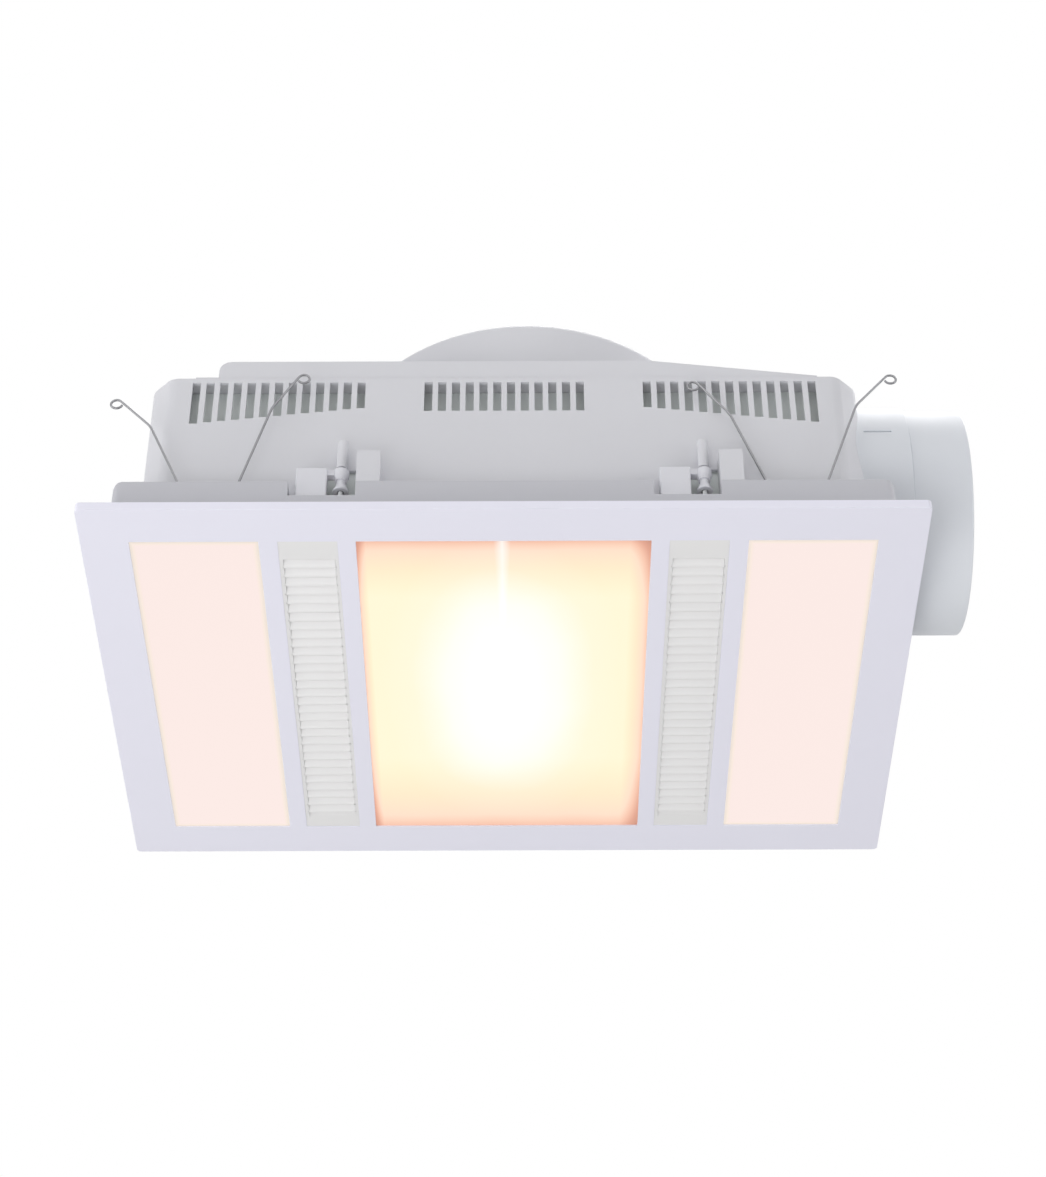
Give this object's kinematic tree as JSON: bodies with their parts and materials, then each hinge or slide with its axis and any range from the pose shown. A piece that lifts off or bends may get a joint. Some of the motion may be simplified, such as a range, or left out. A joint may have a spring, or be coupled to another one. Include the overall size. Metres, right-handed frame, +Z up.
{
  "type": "ceiling bathroom heat lamp, light and extractor fan unit",
  "caption": "Rectangular recessed ceiling unit: glass-covered heat lamp, light panels, louvre grilles, side-ducted fan, clamp-in housing and a spring-held face.",
  "frame": {"origin": "middle of the ceiling cut-out, on the underside of the ceiling", "axes": "+Z up into the roof space, +X along the long side towards the duct, -Y is the front long side"},
  "size_m": [0.5686, 0.363, 0.219],
  "materials": {
    "housing_plastic": "fine matt moulded polypropylene, cool light grey",
    "duct_plastic": "satin moulded plastic, cool light grey",
    "fascia_plastic": "satin white moulded plastic",
    "grille_plastic": "satin white moulded plastic",
    "lens_glass": "frosted heat-proof glass, lit from behind",
    "light_diffuser": "opal diffuser, lit",
    "aluminium": "pressed bright aluminium",
    "circuit_board": "white circuit board",
    "zinc_steel": "zinc-plated steel",
    "spring_wire": "drawn spring steel wire",
    "clamp_plastic": "white glass-filled nylon",
    "lamp_glass": "frosted lamp glass",
    "ceramic": "glazed ceramic",
    "wheel_plastic": "moulded plastic",
    "dark_plastic": "dark grey moulded plastic"
  },
  "bodies": {
    "housing": {"housing": "housing_plastic", "collar": "housing_plastic", "ceiling_flange": "housing_plastic", "top_cover": "housing_plastic", "motor_drum": "housing_plastic", "fan_scroll": "housing_plastic", "motor_plate": "zinc_steel", "motor_case": "zinc_steel", "duct_adaptor": "duct_plastic", "duct_spigot": "duct_plastic", "flap_rod": "zinc_steel", "flap_spring": "spring_wire", "reflector": "aluminium", "heat_lamp": "lamp_glass", "lamp_holder": "ceramic", "terminal_box": "dark_plastic", "terminal_lid": "dark_plastic", "cable_gland": "dark_plastic"},
    "fan": {"fan_wheel": "wheel_plastic", "motor_shaft": "zinc_steel"},
    "flap_front": {"flap_front": "duct_plastic"},
    "flap_rear": {"flap_rear": "duct_plastic"},
    "fascia": {"fascia_frame": "fascia_plastic", "heat_lens": "lens_glass", "grille_left": "grille_plastic", "light_diffuser_left": "light_diffuser", "light_tray_left": "aluminium", "light_board_left": "circuit_board", "grille_right": "grille_plastic", "light_diffuser_right": "light_diffuser", "light_tray_right": "aluminium", "light_board_right": "circuit_board", "spring_bracket_front_left": "fascia_plastic", "spring_coil_front_left": "spring_wire", "spring_bracket_front_right": "fascia_plastic", "spring_coil_front_right": "spring_wire", "spring_bracket_rear_left": "fascia_plastic", "spring_coil_rear_left": "spring_wire", "spring_bracket_rear_right": "fascia_plastic", "spring_coil_rear_right": "spring_wire"},
    "leg_front_left_outer": {"spring_leg_front_left_outer": "spring_wire"},
    "leg_front_left_inner": {"spring_leg_front_left_inner": "spring_wire"},
    "leg_front_right_outer": {"spring_leg_front_right_outer": "spring_wire"},
    "leg_front_right_inner": {"spring_leg_front_right_inner": "spring_wire"},
    "leg_rear_left_outer": {"spring_leg_rear_left_outer": "spring_wire"},
    "leg_rear_left_inner": {"spring_leg_rear_left_inner": "spring_wire"},
    "leg_rear_right_outer": {"spring_leg_rear_right_outer": "spring_wire"},
    "leg_rear_right_inner": {"spring_leg_rear_right_inner": "spring_wire"},
    "clamp_screw_front_1": {"clamp_screw_front_1": "zinc_steel"},
    "clamp_sleeve_front_1": {"clamp_sleeve_front_1": "clamp_plastic"},
    "clamp_arm_front_1": {"clamp_arm_front_1": "clamp_plastic"},
    "clamp_screw_front_2": {"clamp_screw_front_2": "zinc_steel"},
    "clamp_sleeve_front_2": {"clamp_sleeve_front_2": "clamp_plastic"},
    "clamp_arm_front_2": {"clamp_arm_front_2": "clamp_plastic"},
    "clamp_screw_rear_1": {"clamp_screw_rear_1": "zinc_steel"},
    "clamp_sleeve_rear_1": {"clamp_sleeve_rear_1": "clamp_plastic"},
    "clamp_arm_rear_1": {"clamp_arm_rear_1": "clamp_plastic"},
    "clamp_screw_rear_2": {"clamp_screw_rear_2": "zinc_steel"},
    "clamp_sleeve_rear_2": {"clamp_sleeve_rear_2": "clamp_plastic"},
    "clamp_arm_rear_2": {"clamp_arm_rear_2": "clamp_plastic"}
  },
  "joints": [
    {"name": "fan_spin", "type": "hinge", "parent": "housing", "child": "fan", "pos_m": [0.015, 0, 0.1], "axis": [0, 0, 1], "continuous": true},
    {"name": "flap_front_swing", "type": "hinge", "parent": "housing", "child": "flap_front", "pos_m": [0.2579, -0.0607, 0.0888], "axis": [0, 0, 1], "range_deg": [0, 75], "stiffness_Nm_per_rad": 0.002, "springref_deg": -11.46},
    {"name": "flap_rear_swing", "type": "hinge", "parent": "housing", "child": "flap_rear", "pos_m": [0.2579, -0.0607, 0.0888], "axis": [0, 0, -1], "range_deg": [0, 75], "stiffness_Nm_per_rad": 0.002, "springref_deg": -11.46},
    {"name": "fascia_drop", "type": "slide", "parent": "housing", "child": "fascia", "axis": [0, 0, -1], "range_m": [0, 0.06], "stiffness_N_per_m": 500, "springref_m": -0.06},
    {"name": "leg_front_left_outer_close", "type": "hinge", "parent": "fascia", "child": "leg_front_left_outer", "pos_m": [-0.187, -0.154, 0.009], "axis": [0, 1, 0], "range_deg": [0, 14]},
    {"name": "leg_front_left_inner_close", "type": "hinge", "parent": "fascia", "child": "leg_front_left_inner", "pos_m": [-0.187, -0.154, 0.009], "axis": [0, -1, 0], "range_deg": [0, 14]},
    {"name": "leg_front_right_outer_close", "type": "hinge", "parent": "fascia", "child": "leg_front_right_outer", "pos_m": [0.187, -0.154, 0.009], "axis": [0, -1, 0], "range_deg": [0, 14]},
    {"name": "leg_front_right_inner_close", "type": "hinge", "parent": "fascia", "child": "leg_front_right_inner", "pos_m": [0.187, -0.154, 0.009], "axis": [0, 1, 0], "range_deg": [0, 14]},
    {"name": "leg_rear_left_outer_close", "type": "hinge", "parent": "fascia", "child": "leg_rear_left_outer", "pos_m": [-0.187, 0.154, 0.009], "axis": [0, 1, 0], "range_deg": [0, 14]},
    {"name": "leg_rear_left_inner_close", "type": "hinge", "parent": "fascia", "child": "leg_rear_left_inner", "pos_m": [-0.187, 0.154, 0.009], "axis": [0, -1, 0], "range_deg": [0, 14]},
    {"name": "leg_rear_right_outer_close", "type": "hinge", "parent": "fascia", "child": "leg_rear_right_outer", "pos_m": [0.187, 0.154, 0.009], "axis": [0, -1, 0], "range_deg": [0, 14]},
    {"name": "leg_rear_right_inner_close", "type": "hinge", "parent": "fascia", "child": "leg_rear_right_inner", "pos_m": [0.187, 0.154, 0.009], "axis": [0, 1, 0], "range_deg": [0, 14]},
    {"name": "clamp_screw_front_1_turn", "type": "hinge", "parent": "housing", "child": "clamp_screw_front_1", "pos_m": [-0.1035, -0.1535, 0.04], "axis": [0, 0, 1], "range_deg": [0, 3250]},
    {"name": "clamp_sleeve_front_1_travel", "type": "slide", "parent": "housing", "child": "clamp_sleeve_front_1", "axis": [0, 0, -1], "range_m": [0, 0.0144]},
    {"name": "clamp_arm_front_1_swing", "type": "hinge", "parent": "clamp_sleeve_front_1", "child": "clamp_arm_front_1", "pos_m": [-0.1035, -0.1535, 0.04], "axis": [0, 0, 1], "range_deg": [0, 90]},
    {"name": "clamp_screw_front_2_turn", "type": "hinge", "parent": "housing", "child": "clamp_screw_front_2", "pos_m": [0.1275, -0.1535, 0.04], "axis": [0, 0, 1], "range_deg": [0, 3250]},
    {"name": "clamp_sleeve_front_2_travel", "type": "slide", "parent": "housing", "child": "clamp_sleeve_front_2", "axis": [0, 0, -1], "range_m": [0, 0.0144]},
    {"name": "clamp_arm_front_2_swing", "type": "hinge", "parent": "clamp_sleeve_front_2", "child": "clamp_arm_front_2", "pos_m": [0.1275, -0.1535, 0.04], "axis": [0, 0, 1], "range_deg": [0, 90]},
    {"name": "clamp_screw_rear_1_turn", "type": "hinge", "parent": "housing", "child": "clamp_screw_rear_1", "pos_m": [0.1035, 0.1535, 0.04], "axis": [0, 0, 1], "range_deg": [0, 3250]},
    {"name": "clamp_sleeve_rear_1_travel", "type": "slide", "parent": "housing", "child": "clamp_sleeve_rear_1", "axis": [0, 0, -1], "range_m": [0, 0.0144]},
    {"name": "clamp_arm_rear_1_swing", "type": "hinge", "parent": "clamp_sleeve_rear_1", "child": "clamp_arm_rear_1", "pos_m": [0.1035, 0.1535, 0.04], "axis": [0, 0, 1], "range_deg": [0, 90]},
    {"name": "clamp_screw_rear_2_turn", "type": "hinge", "parent": "housing", "child": "clamp_screw_rear_2", "pos_m": [-0.1275, 0.1535, 0.04], "axis": [0, 0, 1], "range_deg": [0, 3250]},
    {"name": "clamp_sleeve_rear_2_travel", "type": "slide", "parent": "housing", "child": "clamp_sleeve_rear_2", "axis": [0, 0, -1], "range_m": [0, 0.0144]},
    {"name": "clamp_arm_rear_2_swing", "type": "hinge", "parent": "clamp_sleeve_rear_2", "child": "clamp_arm_rear_2", "pos_m": [-0.1275, 0.1535, 0.04], "axis": [0, 0, 1], "range_deg": [0, 90]}
  ],
  "couplings": [
    {"joint": "leg_front_left_outer_close", "follows": "fascia_drop", "rad_per_m": 3.898},
    {"joint": "leg_front_left_inner_close", "follows": "fascia_drop", "rad_per_m": 3.898},
    {"joint": "leg_front_right_outer_close", "follows": "fascia_drop", "rad_per_m": 3.898},
    {"joint": "leg_front_right_inner_close", "follows": "fascia_drop", "rad_per_m": 3.898},
    {"joint": "leg_rear_left_outer_close", "follows": "fascia_drop", "rad_per_m": 3.898},
    {"joint": "leg_rear_left_inner_close", "follows": "fascia_drop", "rad_per_m": 3.898},
    {"joint": "leg_rear_right_outer_close", "follows": "fascia_drop", "rad_per_m": 3.898},
    {"joint": "leg_rear_right_inner_close", "follows": "fascia_drop", "rad_per_m": 3.898},
    {"joint": "clamp_screw_front_1_turn", "follows": "clamp_sleeve_front_1_travel", "rad_per_m": 3927},
    {"joint": "clamp_screw_front_2_turn", "follows": "clamp_sleeve_front_2_travel", "rad_per_m": 3927},
    {"joint": "clamp_screw_rear_1_turn", "follows": "clamp_sleeve_rear_1_travel", "rad_per_m": 3927},
    {"joint": "clamp_screw_rear_2_turn", "follows": "clamp_sleeve_rear_2_travel", "rad_per_m": 3927}
  ]
}
